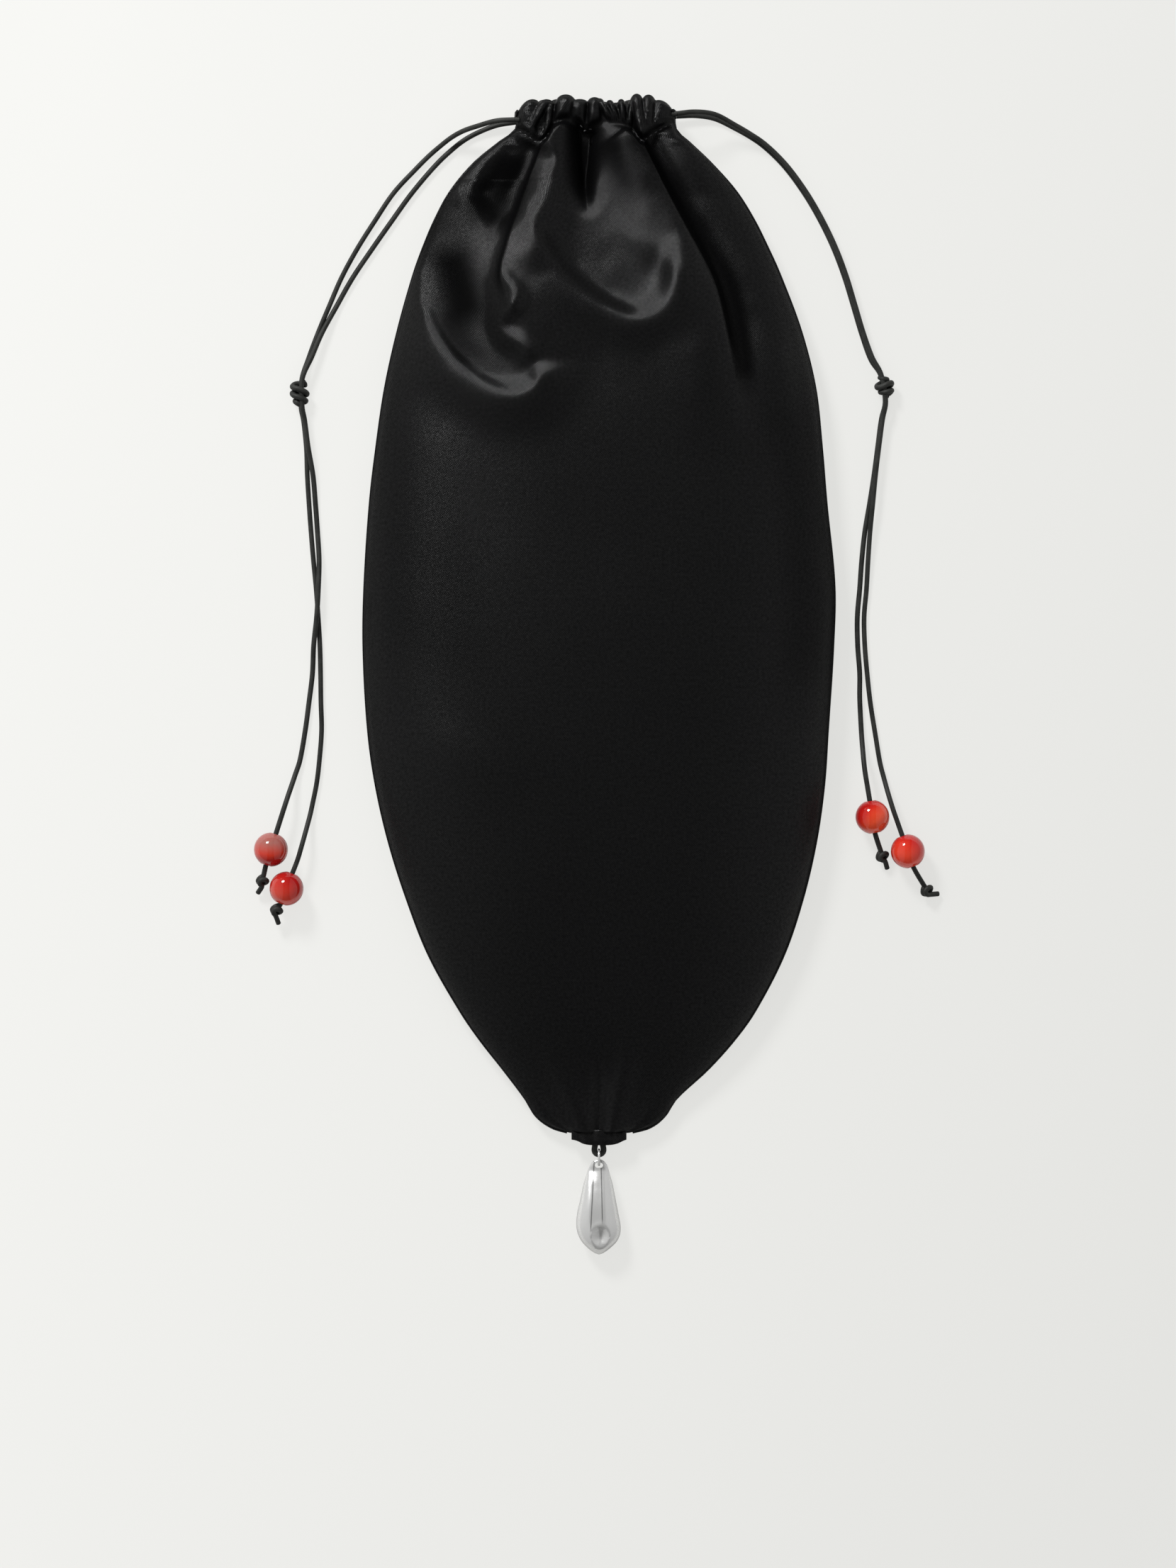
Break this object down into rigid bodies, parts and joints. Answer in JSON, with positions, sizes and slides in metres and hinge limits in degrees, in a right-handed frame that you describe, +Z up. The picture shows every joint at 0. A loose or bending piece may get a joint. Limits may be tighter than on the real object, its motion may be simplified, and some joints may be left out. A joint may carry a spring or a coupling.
{
  "type": "kinchaku drawstring pouch",
  "caption": "Satin drawstring pouch with gathered neck, leather laces ending in round stone beads, and a silver drop on a leather loop at its base.",
  "frame": {"origin": "centre of the pouch and its drop on the surface that the back panel lies on, laces and beads left out", "axes": "+Y towards the gathered mouth, +X to the right as the front is seen, +Z up out of the front panel"},
  "size_m": [0.2016, 0.3398, 0.0253],
  "materials": {
    "satin": "black satin, fine diagonal weave, soft sheen",
    "leather": "black round leather lace, slight sheen",
    "carnelian": "polished translucent orange-red stone",
    "silver": "polished silver"
  },
  "bodies": {
    "pouch": {"front_panel": "satin", "back_panel": "satin", "base_tab": "satin", "hanging_loop": "leather", "left_lace_in_casing": "leather", "right_lace_in_casing": "leather", "left_outer_lace": "leather", "left_inner_lace": "leather", "right_under_lace": "leather", "right_over_lace": "leather", "left_upper_tail": "leather", "left_lower_tail": "leather", "right_upper_tail": "leather", "right_lower_tail": "leather", "left_middle_knot": "leather", "right_middle_knot": "leather", "left_upper_end_knot": "leather", "left_lower_end_knot": "leather", "right_upper_end_knot": "leather", "right_lower_end_knot": "leather"},
    "ring": {"hanging_ring": "silver"},
    "drop": {"silver_drop": "silver"},
    "left_upper_bead": {"left_upper_bead": "carnelian"},
    "left_lower_bead": {"left_lower_bead": "carnelian"},
    "right_upper_bead": {"right_upper_bead": "carnelian"},
    "right_lower_bead": {"right_lower_bead": "carnelian"}
  },
  "joints": [
    {"name": "ring_swing", "type": "hinge", "parent": "pouch", "child": "ring", "pos_m": [0, -0.14055, 0.0031], "axis": [-1, 0, 0], "range_deg": [0, 40]},
    {"name": "drop_swing", "type": "hinge", "parent": "ring", "child": "drop", "pos_m": [0, -0.1425, 0.0031], "axis": [-1, 0, 0], "range_deg": [0, 60]},
    {"name": "left_upper_bead_slide", "type": "slide", "parent": "pouch", "child": "left_upper_bead", "axis": [0.3021, 0.9533, 0], "range_m": [0, 0.008]},
    {"name": "left_lower_bead_slide", "type": "slide", "parent": "pouch", "child": "left_lower_bead", "axis": [0.36, 0.933, 0], "range_m": [0, 0.0025]},
    {"name": "right_upper_bead_slide", "type": "slide", "parent": "pouch", "child": "right_upper_bead", "axis": [-0.162, 0.9868, 0], "range_m": [0, 0.008]},
    {"name": "right_lower_bead_slide", "type": "slide", "parent": "pouch", "child": "right_lower_bead", "axis": [-0.333, 0.9429, 0], "range_m": [0, 0.0045]}
  ]
}
